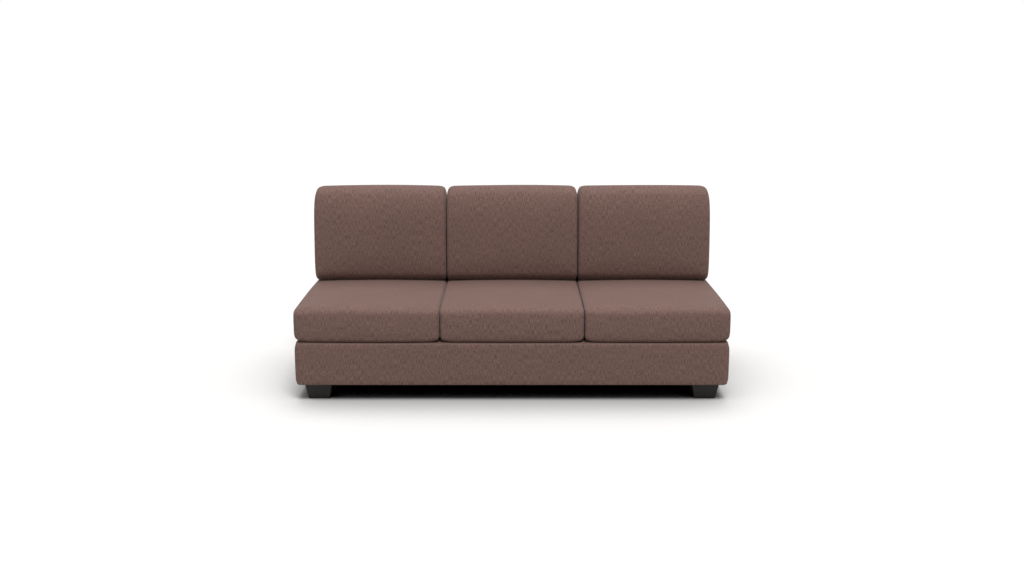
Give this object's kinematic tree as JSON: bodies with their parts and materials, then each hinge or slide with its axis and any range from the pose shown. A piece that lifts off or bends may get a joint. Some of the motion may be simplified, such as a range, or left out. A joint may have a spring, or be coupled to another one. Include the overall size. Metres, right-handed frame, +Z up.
{
  "type": "armless sofa",
  "caption": "Armless sofa with loose box seat and back cushions on an upholstered spring base with tapered block feet.",
  "frame": {"origin": "on the floor, under the middle of the sofa's outline", "axes": "+X to the right along the sofa as seen from the front, the front faces -Y, +Z up"},
  "size_m": [1.9794, 0.9649, 0.9092],
  "materials": {
    "brown_weave": "heathered flat weave, taupe brown",
    "deck_cloth": "plain platform cloth",
    "dust_cloth": "black non-woven",
    "fibre_wrap": "bonded polyester fibre",
    "foam": "cut polyurethane foam",
    "felt": "needled felt",
    "webbing": "woven elastic webbing",
    "frame_wood": "sawn, unfinished",
    "dark_stained_wood": "dark stain, satin lacquer",
    "spring_steel": "drawn wire",
    "zinc_steel": "bright zinc",
    "glide_plastic": "moulded",
    "zip_plastic": "nylon coil on woven tape",
    "zip_metal": "dark lacquered"
  },
  "bodies": {
    "frame": {"front_rail": "frame_wood", "rear_rail": "frame_wood", "spring_rail": "frame_wood", "side_rail_left": "frame_wood", "side_rail_right": "frame_wood", "seat_stretchers": "frame_wood", "corner_blocks": "frame_wood", "back_posts": "frame_wood", "back_cross_rails": "frame_wood", "seat_springs": "spring_steel", "spring_clips": "spring_steel", "spring_ties": "spring_steel", "tee_nuts": "zinc_steel", "foot_bolts": "zinc_steel", "frame_screws": "zinc_steel", "cover_staples": "zinc_steel", "foot_glides": "glide_plastic", "foot_front_left": "dark_stained_wood", "foot_front_right": "dark_stained_wood", "foot_rear_left": "dark_stained_wood", "foot_rear_right": "dark_stained_wood", "foot_centre": "dark_stained_wood", "back_webbing": "webbing", "back_foam": "foam", "deck_foam": "foam", "base_padding": "foam", "edge_roll": "foam", "deck_felt": "felt", "base_cover": "brown_weave", "back_inner_cover": "brown_weave", "back_outer_cover": "brown_weave", "deck_cover": "deck_cloth", "dust_cover": "dust_cloth"},
    "seat_cushion_left": {"seat_cover_left": "brown_weave", "seat_wrap_left": "fibre_wrap", "seat_foam_left": "foam", "seat_zip_left": "zip_plastic"},
    "seat_slider_left": {"seat_zip_slider_left": "zip_metal"},
    "back_cushion_left": {"back_cover_left": "brown_weave", "back_filling_left": "fibre_wrap", "back_zip_left": "zip_plastic"},
    "back_slider_left": {"back_zip_slider_left": "zip_metal"},
    "seat_cushion_middle": {"seat_cover_middle": "brown_weave", "seat_wrap_middle": "fibre_wrap", "seat_foam_middle": "foam", "seat_zip_middle": "zip_plastic"},
    "seat_slider_middle": {"seat_zip_slider_middle": "zip_metal"},
    "back_cushion_middle": {"back_cover_middle": "brown_weave", "back_filling_middle": "fibre_wrap", "back_zip_middle": "zip_plastic"},
    "back_slider_middle": {"back_zip_slider_middle": "zip_metal"},
    "seat_cushion_right": {"seat_cover_right": "brown_weave", "seat_wrap_right": "fibre_wrap", "seat_foam_right": "foam", "seat_zip_right": "zip_plastic"},
    "seat_slider_right": {"seat_zip_slider_right": "zip_metal"},
    "back_cushion_right": {"back_cover_right": "brown_weave", "back_filling_right": "fibre_wrap", "back_zip_right": "zip_plastic"},
    "back_slider_right": {"back_zip_slider_right": "zip_metal"}
  },
  "joints": [
    {"name": "seat_cushion_left_pull_out", "type": "slide", "parent": "frame", "child": "seat_cushion_left", "axis": [0, -1, 0], "range_m": [0, 0.85]},
    {"name": "back_cushion_left_lift_off", "type": "slide", "parent": "frame", "child": "back_cushion_left", "axis": [0, 0.0785, 0.9969], "range_m": [0, 0.5]},
    {"name": "seat_zip_left_run", "type": "slide", "parent": "seat_cushion_left", "child": "seat_slider_left", "axis": [-1, 0, 0], "range_m": [0, 0.52]},
    {"name": "back_zip_left_run", "type": "slide", "parent": "back_cushion_left", "child": "back_slider_left", "axis": [1, 0, 0], "range_m": [0, 0.52]},
    {"name": "seat_cushion_middle_pull_out", "type": "slide", "parent": "frame", "child": "seat_cushion_middle", "axis": [0, -1, 0], "range_m": [0, 0.85]},
    {"name": "back_cushion_middle_lift_off", "type": "slide", "parent": "frame", "child": "back_cushion_middle", "axis": [0, 0.0785, 0.9969], "range_m": [0, 0.5]},
    {"name": "seat_zip_middle_run", "type": "slide", "parent": "seat_cushion_middle", "child": "seat_slider_middle", "axis": [-1, 0, 0], "range_m": [0, 0.52]},
    {"name": "back_zip_middle_run", "type": "slide", "parent": "back_cushion_middle", "child": "back_slider_middle", "axis": [1, 0, 0], "range_m": [0, 0.52]},
    {"name": "seat_cushion_right_pull_out", "type": "slide", "parent": "frame", "child": "seat_cushion_right", "axis": [0, -1, 0], "range_m": [0, 0.85]},
    {"name": "back_cushion_right_lift_off", "type": "slide", "parent": "frame", "child": "back_cushion_right", "axis": [0, 0.0785, 0.9969], "range_m": [0, 0.5]},
    {"name": "seat_zip_right_run", "type": "slide", "parent": "seat_cushion_right", "child": "seat_slider_right", "axis": [-1, 0, 0], "range_m": [0, 0.52]},
    {"name": "back_zip_right_run", "type": "slide", "parent": "back_cushion_right", "child": "back_slider_right", "axis": [1, 0, 0], "range_m": [0, 0.52]}
  ]
}
